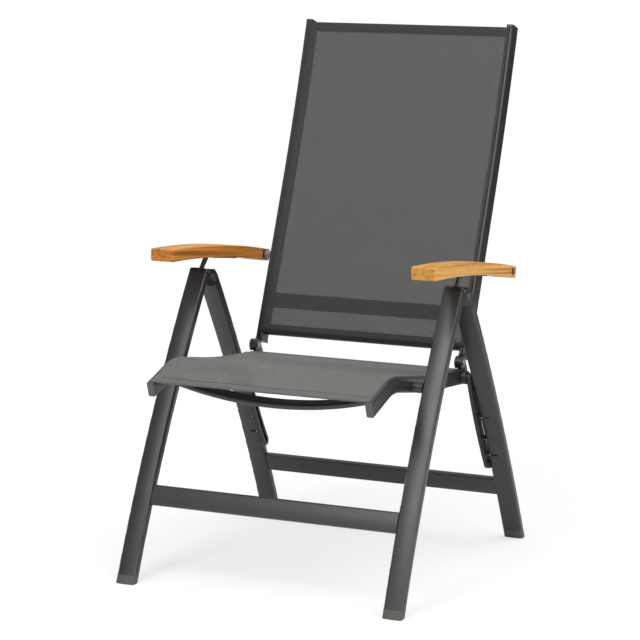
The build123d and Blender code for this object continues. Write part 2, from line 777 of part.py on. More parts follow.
# Sliders: a bolt through the rail's end, a knob on it and its tip in the guide's groove
with BuildPart() as slider_bolts:
    for side, _ in sides:
        disc(side, slider_point, slider_bolt_radius, rail_inner, guide_outer - guide_web - side_play)
        disc(side, slider_point, slider_head_radius, rail_inner - slider_head_height, rail_inner)
save(slider_bolts, "slider_bolts")

for side, name in sides:
    with BuildPart() as knob:
        disc(side, slider_point, knob_radius, rail_outer, guide_inner - knob_play)
        fillet(knob.edges().filter_by(GeomType.CIRCLE), radius=knob_round)
        disc(side, slider_point, slider_bolt_radius, rail_outer, guide_inner, Mode.SUBTRACT)
    save(knob, "slider_knob_" + name)

# Bowed stretcher under the front of the seat: a flat oval tube
stretcher_reach = rail_inner + stretcher_thick
stretcher_sag = stretcher_bow * (stretcher_reach / rail_inner) ** 2
stretcher_lean = math.radians(stretcher_tilt_deg)
stretcher_plane = Plane(
    origin=(0, seat_pivot[0] - stretcher_ahead, seat_pivot[1] + stretcher_end_above),
    x_dir=(1, 0, 0), z_dir=(0, math.cos(stretcher_lean), math.sin(stretcher_lean))
)
with BuildPart() as stretcher:
    with BuildLine(stretcher_plane) as path:
        ThreePointArc(
            (-stretcher_reach, stretcher_bow - stretcher_sag), (0, stretcher_bow),
            (stretcher_reach, stretcher_bow - stretcher_sag)
        )
    stretcher_end = Plane(origin=path.line @ 0, x_dir=stretcher_plane.z_dir, z_dir=path.line % 0)
    with BuildSketch(stretcher_end):
        RectangleRounded(stretcher_wide, stretcher_thick, stretcher_thick * oval_share)
        offset(amount=-stretcher_wall, mode=Mode.SUBTRACT)
    sweep()
    split(bisect_by=Plane.YZ.offset(rail_inner), keep=Keep.BOTTOM)
    split(bisect_by=Plane.YZ.offset(-rail_inner), keep=Keep.TOP)
save(stretcher, "seat_front_stretcher")

# Rear tube of the seat, between the rails
rear_tube_point = stepped(seat_tail, tail_deg, -rear_tube_inset, seat_rail_deep / 2)
with BuildPart() as seat_rear_tube:
    disc(1, rear_tube_point, rear_tube_radius, -rail_inner, rail_inner)
    disc(1, rear_tube_point, rear_tube_radius - rear_tube_wall, -rail_inner, rail_inner, Mode.SUBTRACT)
save(seat_rear_tube, "seat_rear_tube")


def cloth_section(plane, groove_at):
    """A sheet that lies on both rails, with a beaded edge in each rail's groove."""
    with BuildSketch(plane) as section:
        with Locations((0, -cloth_gap - cloth_thick / 2)):
            Rectangle(2 * groove_at + cloth_tab, cloth_thick)
        for side, _ in sides:
            with Locations((side * groove_at, (groove_depth - cloth_gap) / 2)):
                Rectangle(cloth_tab, groove_depth + cloth_gap)
            with Locations((side * groove_at, groove_depth)):
                Circle(cloth_bead_radius)
    return section


with BuildPart() as seat_cloth:
    path = seat_path(0, seat_cloth_short)
    section = cloth_section(seat_start(0), rail_middle)
    sweep(section.sketch, path=path.line)
save(seat_cloth, "seat_fabric")

# Hinge of the back: bolts with a washer under each end
with BuildPart() as back_hinge_bolts:
    for side, _ in sides:
        disc(side, back_hinge, back_bolt_radius, rail_inner - side_play, rail_outer + side_play)
        for face, way in ((rail_inner - side_play, -1), (rail_outer + side_play, 1)):
            disc(side, back_hinge, back_bolt_head_radius, face, face + way * back_bolt_head_height)
save(back_hinge_bolts, "back_hinge_bolts")

# Back rails: straight from the hinge, then a long curve towards upright
back_start = stepped(back_hinge, back_lean_deg, back_rail_start, back_face_behind)
back_turn_deg = math.degrees(back_curve_length / back_curve_radius)
back_along = (0, math.sin(math.radians(back_lean_deg)), math.cos(math.radians(back_lean_deg)))


def back_point(distance, beside=0.0):
    """A (y, z) point up the back's front face, and beside it rearward."""
    if distance <= back_straight:
        return stepped(back_start, back_lean_deg, distance, beside)
    knee = stepped(back_start, back_lean_deg, back_straight)
    centre = stepped(knee, back_lean_deg, 0, -back_curve_radius)
    lean = back_lean_deg - math.degrees((distance - back_straight) / back_curve_radius)
    return stepped(centre, lean, 0, back_curve_radius + beside)


def back_path(x):
    """Draws the back's front face line in side view."""
    with BuildLine(side_plane(x)) as path:
        run = Line(back_start, back_point(back_straight))
        JernArc(start=run @ 1, tangent=run % 1, radius=back_curve_radius, arc_size=back_turn_deg)
    return path


back_middle = (back_inner + back_outer) / 2
back_length = back_straight + back_curve_length
top_lean = math.radians(back_lean_deg - back_turn_deg)
for side, name in sides:
    foot_plane = Plane(origin=(side * back_middle, *back_start), x_dir=(1, 0, 0), z_dir=back_along)
    top_plane = Plane(
        origin=(side * back_middle, *back_point(back_length)),
        x_dir=(1, 0, 0), z_dir=(0, math.sin(top_lean), math.cos(top_lean))
    )
    with BuildPart() as back_rail:
        path = back_path(side * back_middle)
        section = rail_section(foot_plane, back_rail_deep)
        sweep(section.sketch, path=path.line)
        disc(side, arm_pivot, arm_bolt_radius + arm_bolt_play, back_inner, back_outer, Mode.SUBTRACT)
    save(back_rail, "back_rail_" + name)

    with BuildPart() as back_cap:
        with BuildSketch(top_plane):
            with Locations((0, back_rail_deep / 2)):
                RectangleRounded(rail_wide, back_rail_deep, rail_corner)
        extrude(amount=back_cap_rise)
        fillet(back_cap.faces().sort_by(Axis.Z)[-1].edges(), radius=rail_wall)
        rail_plug(top_plane, back_rail_deep, -rail_plug_depth)
    save(back_cap, "back_top_cap_" + name)

# Hinge fittings of the back: plugged into the rails, each with a tongue on the hinge
fitting_front = stepped(back_start, back_lean_deg, -rail_corner, rail_corner)
fitting_rear = stepped(back_start, back_lean_deg, -rail_corner, back_rail_deep - rail_corner)
fitting_circles = ((fitting_front, rail_corner), (fitting_rear, rail_corner))
tongue_rear = (mixed(fitting_front, fitting_rear, tongue_rear_share), rail_corner)
for side, name in sides:
    foot_plane = Plane(origin=(side * back_middle, *back_start), x_dir=(1, 0, 0), z_dir=back_along)
    with BuildPart() as fitting:
        hull_plate(side, fitting_circles, back_inner, back_outer)
        disc(side, back_hinge, hinge_relief_radius, back_inner, back_outer, Mode.SUBTRACT)
        hull_plate(
            side, (fitting_circles[0], tongue_rear, (back_hinge, hinge_tongue_radius)),
            tongue_near + side_play, tongue_far - side_play
        )
        rail_plug(foot_plane.offset(-rail_corner), back_rail_deep, rail_plug_depth + rail_corner)
        disc(side, back_hinge, back_bolt_radius + running_fit, tongue_near, tongue_far, Mode.SUBTRACT)
    save(fitting, "back_hinge_fitting_" + name)

# Cross tubes of the back: round at the top and bottom, flat at the lumbar
top_tube_point = back_point(back_length - top_tube_below, back_rail_deep / 2)
bottom_tube_point = back_point(bottom_tube_above, bottom_tube_in)
for point, name in ((top_tube_point, "back_top_tube"), (bottom_tube_point, "back_bottom_tube")):
    with BuildPart() as back_tube:
        disc(1, point, back_tube_radius, -back_inner, back_inner)
        disc(1, point, back_tube_radius - back_tube_wall, -back_inner, back_inner, Mode.SUBTRACT)
    save(back_tube, name)

lumbar_plane = Plane(
    origin=(0, *back_point(lumbar_above, back_rail_deep / 2)), x_dir=back_along, z_dir=(1, 0, 0)
)
with BuildPart() as lumbar_tube:
    with BuildSketch(lumbar_plane):
        RectangleRounded(lumbar_tall, lumbar_thick, lumbar_thick * oval_share)
        offset(amount=-back_tube_wall, mode=Mode.SUBTRACT)
    extrude(amount=back_inner, both=True)
save(lumbar_tube, "back_lumbar_tube")

with BuildPart() as back_cloth:
    path = back_path(0)
    section = cloth_section(Plane(origin=(0, *back_start), x_dir=(1, 0, 0), z_dir=back_along), back_middle)
    sweep(section.sketch, path=path.line)
save(back_cloth, "back_fabric")

# Arms: the middle line of an arm is an arc through its pivot and over the strut's pin
pin_slope = math.atan2(strut_top[1] - arm_pivot[1], arm_pivot[0] - strut_top[0])
over_pin = (
    strut_top[0] + arm_pin_drop * math.sin(pin_slope), strut_top[1] + arm_pin_drop * math.cos(pin_slope)
)
arm_chord = math.hypot(arm_pivot[0] - over_pin[0], over_pin[1] - arm_pivot[1])
chord_slope = math.atan2(over_pin[1] - arm_pivot[1], arm_pivot[0] - over_pin[0])
pivot_slope = chord_slope + math.asin(arm_chord / 2 / arm_radius)
arm_centre = (
    arm_pivot[0] - arm_radius * math.sin(pivot_slope), arm_pivot[1] - arm_radius * math.cos(pivot_slope)
)


def arm_point(distance, height=0.0):
    """The (y, z) point behind the pivot along an arm, at a height over its middle line."""
    slope = pivot_slope + distance / arm_radius
    reach = arm_radius + height
    return (arm_centre[0] + reach * math.sin(slope), arm_centre[1] + reach * math.cos(slope))


def arm_slab(side, front, rear, low, high, near, far, mode=Mode.ADD):
    """Adds a slab that follows an arm's curve between two distances and two heights."""
    middle = (front + rear) / 2
    with BuildLine() as outline:
        ThreePointArc(arm_point(front, high), arm_point(middle, high), arm_point(rear, high))
        Line(arm_point(rear, high), arm_point(rear, low))
        ThreePointArc(arm_point(rear, low), arm_point(middle, low), arm_point(front, low))
        Line(arm_point(front, low), arm_point(front, high))
    with BuildSketch(side_plane(side * (near + far) / 2)) as face:
        make_face(outline.edges())
    extrude(face.sketch, amount=abs(far - near) / 2, both=True, mode=mode)


def pin_in_arm(share):
    """Where the strut's pin lies in the arm's frame at a share of the recline."""
    return turned(strut_top, arm_swing_point, -recline_deg * share * arm_tilt_ratio)


def arm_distance(point):
    """The distance behind the pivot, along the arm, of a (y, z) point."""
    slope = math.atan2(point[0] - arm_centre[0], point[1] - arm_centre[1])
    return (slope - pivot_slope) * arm_radius


def arm_height(point):
    """The height of a (y, z) point over the arm's middle line."""
    return math.hypot(point[0] - arm_centre[0], point[1] - arm_centre[1]) - arm_radius


rack_front = arm_distance(pin_in_arm(1)) - rack_front_margin
rack_rear = arm_distance(pin_in_arm(0)) + rack_rear_margin
rack_low = -arm_thick / 2
rack_high = rack_low + rack_depth
rack_ceiling = rack_high - rack_roof
tooth_shares = [index / rack_teeth for index in range(rack_teeth)]
plate_low, plate_high = -end_plate_half_tall, end_plate_half_tall
for side, name in sides:
    rack_near = leg_centre - rack_wide / 2
    rack_far = leg_centre + rack_wide / 2
    with BuildPart() as arm:
        arm_slab(side, -arm_front_reach, arm_rear_reach, rack_low, -rack_low, arm_inner, arm_outer)
        upright = arm.edges().filter_by(GeomType.LINE).filter_by(Axis.X, reverse=True)
        fillet(upright, radius=arm_end_corner)
        top_and_underside = arm.faces().filter_by(GeomType.CYLINDER).sort_by(SortBy.AREA)[-2:]
        fillet(top_and_underside.edges(), radius=arm_corner)
        arm_slab(
            side, rack_front, rack_rear, rack_low - overrun, rack_high, rack_near, rack_far,
            Mode.SUBTRACT
        )
        arm_slab(
            side, -end_plate_ahead, end_plate_behind, plate_low, plate_high, arm_inner - overrun,
            arm_inner + end_plate_thick, Mode.SUBTRACT
        )
        disc(side, arm_pivot, arm_bolt_radius, arm_inner, arm_outer, Mode.SUBTRACT)
        disc(
            side, arm_pivot, arm_recess_radius, arm_outer - arm_recess_depth, arm_outer + overrun,
            Mode.SUBTRACT
        )
    save(arm, "arm_" + name)

    with BuildPart() as rack:
        arm_slab(side, rack_front, rack_rear, rack_low, rack_high, rack_near, rack_far)
        arm_slab(
            side, rack_front - overrun, rack_rear + overrun, rack_low - overrun, rack_ceiling,
            rack_near + rack_wall, rack_far - rack_wall, Mode.SUBTRACT
        )
        for share in tooth_shares:
            seat = pin_in_arm(share)
            tooth = arm_distance(seat) + rack_pitch / 2
            tip = arm_height(seat) + pin_radius + rack_tip_gap
            with BuildLine() as outline:
                Polyline(
                    arm_point(tooth - rack_pitch / 3, rack_ceiling + rack_roof / 2), arm_point(tooth, tip),
                    arm_point(tooth + rack_pitch / 6, rack_ceiling + rack_roof / 2), close=True
                )
            with BuildSketch(side_plane(side * leg_centre)) as face:
                make_face(outline.edges())
            extrude(face.sketch, amount=rack_wide / 2 - rack_wall / 2, both=True)
    save(rack, "arm_rack_" + name)

    with BuildPart() as end_plate:
        arm_slab(
            side, -end_plate_ahead, end_plate_behind, plate_low, plate_high, arm_inner,
            arm_inner + end_plate_thick
        )
        disc(side, arm_pivot, arm_bolt_radius, arm_inner, arm_inner + end_plate_thick, Mode.SUBTRACT)
    save(end_plate, "arm_end_plate_" + name)

with BuildPart() as arm_spacers:
    for side, _ in sides:
        disc(side, arm_pivot, arm_spacer_radius, back_outer + side_play, arm_inner - side_play)
        disc(side, arm_pivot, arm_bolt_radius + running_fit, back_outer, arm_inner, Mode.SUBTRACT)
save(arm_spacers, "arm_spacers")

head = arm_outer - arm_recess_depth
for side, name in sides:
    with BuildPart() as arm_bolt:
        disc(side, arm_pivot, arm_bolt_radius, back_inner - side_play, head)
        disc(side, arm_pivot, arm_bolt_head_radius, head, head + arm_bolt_head_height)
        disc(
            side, arm_pivot, arm_bolt_head_radius, back_inner - side_play - arm_bolt_head_height,
            back_inner - side_play
        )
    save(arm_bolt, "arm_bolt_" + name)
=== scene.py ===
import math

import bmesh
import bpy
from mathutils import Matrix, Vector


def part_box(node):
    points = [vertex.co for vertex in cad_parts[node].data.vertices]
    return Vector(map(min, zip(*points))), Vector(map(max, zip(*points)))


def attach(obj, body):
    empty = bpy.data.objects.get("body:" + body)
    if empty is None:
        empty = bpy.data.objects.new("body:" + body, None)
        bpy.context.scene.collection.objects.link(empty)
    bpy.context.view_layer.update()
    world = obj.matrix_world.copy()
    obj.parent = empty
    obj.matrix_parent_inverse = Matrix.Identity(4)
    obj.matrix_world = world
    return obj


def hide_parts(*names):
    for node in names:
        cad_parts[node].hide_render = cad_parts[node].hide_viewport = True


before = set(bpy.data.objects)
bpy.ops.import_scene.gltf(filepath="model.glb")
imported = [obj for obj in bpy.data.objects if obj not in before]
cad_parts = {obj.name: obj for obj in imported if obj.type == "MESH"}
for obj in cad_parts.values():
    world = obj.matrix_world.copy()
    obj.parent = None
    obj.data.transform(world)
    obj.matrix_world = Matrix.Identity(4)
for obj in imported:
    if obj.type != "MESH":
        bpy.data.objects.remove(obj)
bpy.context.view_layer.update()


# Camera: stands in front of the chair and to its right, at chest height, and looks
# slightly down at it through a long lens.
def put(name, data):
    """An object made of its data, put into the scene."""
    made = bpy.data.objects.new(name, data)
    bpy.context.scene.collection.objects.link(made)
    return made


look_down = math.radians(10.128)
look_across = math.radians(24.796)
camera_data = bpy.data.cameras.new("camera")
camera_data.sensor_width = 36.0
camera_data.lens = 141.74
camera_data.clip_end = 60.0
camera = put("camera", camera_data)
camera.location = (2.0311, -4.4817, 1.3563)
camera.rotation_euler = (math.pi / 2 - look_down, 0.0, look_across)
bpy.context.scene.camera = camera
bpy.context.scene.view_settings.view_transform = "Standard"


# Studio: a pale painted floor that runs out to a white surround, one large soft lamp
# high on the right, even light from all round, a soft box for the shine along the legs
# and two dark screens that the metal mirrors on its sides. The floor keeps the shadow.
def new_finish(name):
    """A material with its node tree and its shader, ready for the finish to be built."""
    made = bpy.data.materials.new(name)
    made.use_nodes = True
    return made, made.node_tree, made.node_tree.nodes["Principled BSDF"]


def add(tree, kind, sockets=None, **settings):
    """A node of a finish, with its settings and the values of its sockets."""
    made = tree.nodes.new(kind)
    for key, value in settings.items():
        setattr(made, key, value)
    for key, value in (sockets or {}).items():
        made.inputs[key].default_value = value
    return made


def colour(tree, shader, pattern, dark, light, start=0.0, end=1.0):
    """Colours a shader by a pattern: dark up to its start value, light from its end value."""
    tones = add(tree, "ShaderNodeValToRGB")
    first, last = tones.color_ramp.elements
    first.position = start
    first.color = (*dark, 1)
    last.position = end
    last.color = (*light, 1)
    tree.links.new(pattern, tones.inputs["Fac"])
    tree.links.new(tones.outputs["Color"], shader.inputs["Base Color"])


def flat_piece(name, points, faces, finish):
    """A flat-shaded piece with one finish, made of its points and faces."""
    mesh = bpy.data.meshes.new(name)
    mesh.from_pydata(points, [], faces)
    mesh.materials.append(finish)
    return put(name, mesh)


floor_half = 14.0
floor_corners = [(x * floor_half, y * floor_half, 0) for x, y in ((-1, -1), (1, -1), (1, 1), (-1, 1))]
floor_whiteness = 0.6
floor_paint, tree, shader = new_finish("floor_paint")
shader.inputs["Roughness"].default_value = 0.9
shader.inputs["Specular IOR Level"].default_value = 0.1
speckle = add(tree, "ShaderNodeTexNoise", {"Scale": 900.0})
tree.links.new(add(tree, "ShaderNodeTexCoord").outputs["Object"], speckle.inputs["Vector"])
colour(tree, shader, speckle.outputs["Fac"], (0.985, 0.985, 0.985), (1.0, 1.0, 1.0))
white_floor = add(tree, "ShaderNodeEmission", {"Color": (1, 1, 1, 1), "Strength": 1.0})
ray = add(tree, "ShaderNodeLightPath")
white_share = add(tree, "ShaderNodeMath", {1: floor_whiteness}, operation="MULTIPLY")
floor_mix = add(tree, "ShaderNodeMixShader")
tree.links.new(ray.outputs["Is Camera Ray"], white_share.inputs[0])
tree.links.new(white_share.outputs[0], floor_mix.inputs[0])
tree.links.new(shader.outputs[0], floor_mix.inputs[1])
tree.links.new(white_floor.outputs[0], floor_mix.inputs[2])
tree.links.new(floor_mix.outputs[0], tree.nodes["Material Output"].inputs["Surface"])
floor = flat_piece("floor", floor_corners, [(0, 1, 2, 3)], floor_paint)

surround = bpy.data.worlds.new("surround")
surround.use_nodes = True
bpy.context.scene.world = surround
tree = surround.node_tree
tree.nodes.clear()
room_light = add(tree, "ShaderNodeBackground", {"Color": (1, 1, 1, 1), "Strength": 0.62})
seen_white = add(tree, "ShaderNodeBackground", {"Color": (1, 1, 1, 1), "Strength": 1.0})
ray = add(tree, "ShaderNodeLightPath")
straight_or_glossy = add(tree, "ShaderNodeMath", operation="MAXIMUM")
or_through = add(tree, "ShaderNodeMath", operation="MAXIMUM")
surround_mix = add(tree, "ShaderNodeMixShader")
surround_out = add(tree, "ShaderNodeOutputWorld")
tree.links.new(ray.outputs["Is Camera Ray"], straight_or_glossy.inputs[0])
tree.links.new(ray.outputs["Is Glossy Ray"], straight_or_glossy.inputs[1])
tree.links.new(straight_or_glossy.outputs[0], or_through.inputs[0])
tree.links.new(ray.outputs["Is Transmission Ray"], or_through.inputs[1])
tree.links.new(or_through.outputs[0], surround_mix.inputs[0])
tree.links.new(room_light.outputs[0], surround_mix.inputs[1])
tree.links.new(seen_white.outputs[0], surround_mix.inputs[2])
tree.links.new(surround_mix.outputs[0], surround_out.inputs[0])

lamp_data = bpy.data.lights.new("soft_lamp", "SUN")
lamp_data.energy = 1.5
lamp_data.angle = math.radians(60)
lamp = put("soft_lamp", lamp_data)
lamp.rotation_euler = (math.radians(6), math.radians(30), 0.0)

box_data = bpy.data.lights.new("soft_box", "AREA")
box_data.energy = 48.0
box_data.shape = "RECTANGLE"
box_data.size = 1.1
box_data.size_y = 2.2
soft_box = put("soft_box", box_data)
soft_box.location = (-0.55, -2.5, 2.9)
soft_box.rotation_euler = (math.radians(43), 0.0, math.radians(-13.5))

screen_cloth, tree, shader = new_finish("screen_cloth")
weave = add(tree, "ShaderNodeTexNoise", {"Scale": 400.0})
colour(tree, shader, weave.outputs["Fac"], (0.006, 0.006, 0.006), (0.012, 0.012, 0.012))
for name, near, far, top in (
        ("right", (0.55, 2.6), (3.4, 1.0), 2.6),
        ("left", (-1.6, -2.3), (-2.8, 0.4), 4.5)):
    screen_corners = [(*near, 0), (*far, 0), (*far, top), (*near, top)]
    screen = flat_piece("dark_screen_" + name, screen_corners, [(0, 1, 2, 3)], screen_cloth)
    screen.visible_camera = False
    screen.visible_diffuse = False
    screen.visible_transmission = False
    screen.visible_shadow = False


# Legs and crossbars: extruded aluminium tube, cut, bent and given an anthracite powder
# coat, which has a faint pebbled surface and a satin shine along its edges. The rear
# legs and their crossbar have a warmer, slightly paler coat.
def shine_and_bump(tree, shader, shine_by, least, most, height, strength, depth, edge=None, invert=False):
    """A roughness that varies with one pattern, and a bump from another over softened edges."""
    roughness = add(tree, "ShaderNodeMapRange", {"To Min": least, "To Max": most})
    bump = add(tree, "ShaderNodeBump", {"Strength": strength, "Distance": depth}, invert=invert)
    if edge:
        soft_edge = add(tree, "ShaderNodeBevel", {"Radius": edge}, samples=4)
        tree.links.new(soft_edge.outputs["Normal"], bump.inputs["Normal"])
    tree.links.new(shine_by, roughness.inputs["Value"])
    tree.links.new(roughness.outputs["Result"], shader.inputs["Roughness"])
    tree.links.new(height, bump.inputs["Height"])
    tree.links.new(bump.outputs["Normal"], shader.inputs["Normal"])


def coat_finish(name, dark, light, roughness, pebble=0.05):
    """A powder coat: two close tones, a pebbled surface and a shine that varies a little."""
    made, tree, shader = new_finish(name)
    place = add(tree, "ShaderNodeTexCoord").outputs["Object"]
    cloud = add(tree, "ShaderNodeTexNoise", {"Scale": 14.0, "Detail": 3.0})
    grit = add(tree, "ShaderNodeTexNoise", {"Scale": 1600.0, "Detail": 2.0})
    cloud_share = 0.5
    both = add(tree, "ShaderNodeMath", {1: cloud_share}, operation="MULTIPLY_ADD")
    for noise in (cloud, grit):
        tree.links.new(place, noise.inputs["Vector"])
    tree.links.new(cloud.outputs["Fac"], both.inputs[0])
    tree.links.new(grit.outputs["Fac"], both.inputs[2])
    colour(tree, shader, both.outputs[0], dark, light, start=0.45)
    shine_and_bump(tree, shader, shine_by=cloud.outputs["Fac"],
                   least=roughness - 0.05, most=roughness + 0.07,
                   height=grit.outputs["Fac"], strength=pebble, depth=0.0003, edge=0.0008)
    return made


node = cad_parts


def coat(finish, *names):
    """Gives a finish to CAD nodes. A name that ends in _ stands for the right and left one."""
    for name in names:
        pair = [name + "right", name + "left"] if name.endswith("_") else [name]
        for each in pair:
            for slot in node[each].material_slots:
                slot.material = finish


anthracite_coat = coat_finish("anthracite_coat", roughness=0.32,
                              dark=(0.018, 0.018, 0.019), light=(0.028, 0.0275, 0.028))
rear_coat = coat_finish("rear_coat", roughness=0.36,
                        dark=(0.022, 0.0205, 0.0185), light=(0.034, 0.0315, 0.0285))
coat(anthracite_coat, "front_leg_", "front_crossbar")
coat(rear_coat, "rear_leg_", "rear_crossbar")

# Feet: dark grey nylon plugs pressed into the tube ends, with a fine moulded grain that
# the ground has scuffed paler than the coat.
foot_grey = coat_finish("foot_grey", roughness=0.5, pebble=0.12,
                        dark=(0.050, 0.048, 0.042), light=(0.075, 0.072, 0.063))
coat(foot_grey, "front_foot_", "rear_foot_")

# Top fittings: glass-filled nylon mouldings, pushed over the tops of the legs, which
# they close, and bored for the main hinge.
fitting_black = coat_finish("fitting_black", roughness=0.34, pebble=0.08,
                            dark=(0.011, 0.011, 0.011), light=(0.018, 0.018, 0.018))
coat(fitting_black, "front_top_fitting_", "rear_top_fitting_")


# Struts, rivets, pins and hinge bolts: flat bar and round stock left bare under a thin
# clear plate. Each strut is riveted to its fitting and carries an arm on its pin.
def metal_finish(name, dark, light, roughness):
    """A brushed metal: close tones in fine streaks, which also carry the bump."""
    made, tree, shader = new_finish(name)
    shader.inputs["Metallic"].default_value = 1.0
    place = add(tree, "ShaderNodeMapping", {"Scale": (2200.0, 260.0, 260.0)})
    streaks = add(tree, "ShaderNodeTexNoise", {"Scale": 1.0, "Detail": 3.0})
    tree.links.new(add(tree, "ShaderNodeTexCoord").outputs["Object"], place.inputs["Vector"])
    tree.links.new(place.outputs["Vector"], streaks.inputs["Vector"])
    colour(tree, shader, streaks.outputs["Fac"], dark, light)
    shine_and_bump(tree, shader, shine_by=streaks.outputs["Fac"],
                   least=roughness - 0.06, most=roughness + 0.08,
                   height=streaks.outputs["Fac"], strength=0.1, depth=0.0002, edge=0.0005)
    return made


strut_metal = metal_finish("strut_metal", roughness=0.42,
                           dark=(0.17, 0.17, 0.18), light=(0.27, 0.27, 0.28))
plated_steel = metal_finish("plated_steel", roughness=0.34,
                            dark=(0.20, 0.20, 0.21), light=(0.34, 0.34, 0.35))
coat(strut_metal, "arm_strut_")
coat(plated_steel, "strut_pins", "strut_rivets", "main_hinge_bolts")

# Guides: black moulded bars with a long slot, one on each rear leg, held off it by
# spacers and fixed with screws.
moulded_black = coat_finish("moulded_black", roughness=0.46, pebble=0.12,
                            dark=(0.008, 0.008, 0.008), light=(0.013, 0.013, 0.013))
coat(moulded_black, "guide_rail_", "guide_spacers")
coat(plated_steel, "guide_screws")

# Seat frame: two bent rails with a moulded cap in front and a bracket behind, a curved
# stretcher and a tube between them, and a bolt and knob that slide in each guide.
coat(anthracite_coat, "seat_rail_", "seat_front_stretcher", "seat_rear_tube")
coat(foot_grey, "seat_front_cap_")
coat(fitting_black, "seat_rear_bracket_", "seat_pivot_spacers")
coat(moulded_black, "slider_knob_")
coat(plated_steel, "seat_pivot_bolts", "seat_pivot_nuts", "slider_bolts")


# Seat sling: coated polyester mesh in an open weave, with a cord welded into each long
# edge that sits in the rail's groove, and a sewn hem in front and behind. Its yarns are
# painted paler than the back's, painted light for the seat lying open to the lamps above,
# and its holes are smaller than the back's.
def mesh_finish(name, dark, light, pitch, hole):
    """Open weave: yarns over and under along both directions, with a hole in each square.
    A hole goes through both skins of the sheet, and the skins' inner sides are left clear."""
    made, tree, shader = new_finish(name)
    shader.inputs["Specular IOR Level"].default_value = 0.4
    shader.inputs["Sheen Weight"].default_value = 0.12
    shader.inputs["Sheen Roughness"].default_value = 0.4

    def maths(operation, first, second=None):
        """A Math node's result, from numbers or from other nodes' results."""
        step = add(tree, "ShaderNodeMath", operation=operation)
        for place, value in ((0, first), (1, second)):
            if isinstance(value, (int, float)):
                step.inputs[place].default_value = value
            elif value is not None:
                tree.links.new(value, step.inputs[place])
        return step.outputs[0]

    across = add(tree, "ShaderNodeAttribute", attribute_name="cloth_across").outputs["Fac"]
    along = add(tree, "ShaderNodeAttribute", attribute_name="cloth_along").outputs["Fac"]

    def yarns(across_scale, along_scale, detail):
        """Half of the cloth's tone: streaks that run with one set of its yarns."""
        place = add(tree, "ShaderNodeCombineXYZ")
        streaks = add(tree, "ShaderNodeTexNoise", {"Scale": 1.0, "Detail": detail})
        tree.links.new(maths("MULTIPLY", across, across_scale), place.inputs[0])
        tree.links.new(maths("MULTIPLY", along, along_scale), place.inputs[1])
        tree.links.new(place.outputs[0], streaks.inputs["Vector"])
        return maths("MULTIPLY", streaks.outputs["Fac"], 0.5)

    across_turn = maths("MULTIPLY", across, math.pi / pitch)
    along_turn = maths("MULTIPLY", along, math.pi / pitch)
    over = maths("MULTIPLY", maths("COSINE", across_turn), maths("COSINE", along_turn))
    across_gap = maths("ABSOLUTE", maths("SINE", across_turn))
    along_gap = maths("ABSOLUTE", maths("SINE", along_turn))
    gap = maths("MULTIPLY", across_gap, along_gap)
    inside = add(tree, "ShaderNodeNewGeometry").outputs["Backfacing"]
    solid = maths("MULTIPLY", maths("LESS_THAN", gap, hole), maths("SUBTRACT", 1.0, inside))
    long_yarns = yarns(across_scale=260.0, along_scale=22.0, detail=2.0)
    cross_yarns = yarns(across_scale=9.0, along_scale=240.0, detail=3.0)
    tone = maths("ADD", long_yarns, cross_yarns)
    # Where the yarns cross over they are painted lighter: a painted highlight on the raised weave.
    painted_highlight_share = 0.15
    lit = maths("ADD", tone, maths("MULTIPLY", over, painted_highlight_share))
    colour(tree, shader, lit, dark, light, start=0.3, end=0.75)
    shine_and_bump(tree, shader, shine_by=tone, least=0.58, most=0.72,
                   height=over, strength=0.35, depth=0.0003)
    tree.links.new(solid, shader.inputs["Alpha"])
    return made


def bent_line(corners, radii, spacing):
    """Points every few millimetres along straight runs joined by arcs, as a (y, z) line."""
    least_steps = 3
    line = [corners[0]]
    for before, corner, after, radius in zip(corners, corners[1:], corners[2:], radii):
        in_angle = math.atan2(corner[1] - before[1], corner[0] - before[0])
        out_angle = math.atan2(after[1] - corner[1], after[0] - corner[0])
        bend = out_angle - in_angle
        reach = radius * math.tan(abs(bend) / 2)
        start_y = corner[0] - reach * math.cos(in_angle)
        start_z = corner[1] - reach * math.sin(in_angle)
        side = math.copysign(math.pi / 2, bend)
        centre_y = start_y + radius * math.cos(in_angle + side)
        centre_z = start_z + radius * math.sin(in_angle + side)
        steps = max(least_steps, round(radius * abs(bend) / spacing))
        for step in range(steps + 1):
            angle = in_angle - side + bend * step / steps
            line.append((centre_y + radius * math.cos(angle), centre_z + radius * math.sin(angle)))
    line.append(corners[-1])
    return line


def measured_rows(line, spacing, stop=None):
    """The line's points at even distances: y, z, its outward normal's y and z, the distance."""
    lengths = [math.dist(a, b) for a, b in zip(line, line[1:])]
    whole = sum(lengths) if stop is None else stop
    count = round(whole / spacing)
    rows = []
    for step in range(count + 1):
        distance = whole * step / count
        left = distance
        for a, b, length in zip(line, line[1:], lengths):
            if left <= length or b is line[-1]:
                break
            left -= length
        share = left / length
        y = a[0] + (b[0] - a[0]) * share
        z = a[1] + (b[1] - a[1]) * share
        rows.append((y, z, -(b[1] - a[1]) / length, (b[0] - a[0]) / length, distance))
    return rows


def metres(*millimetres):
    """Sizes in millimetres, as on a drawing, turned into the scene's metres."""
    return tuple(size / 1000 for size in millimetres)


def smooth(piece):
    """Shades a piece as one rounded surface."""
    for face in piece.data.polygons:
        face.use_smooth = True


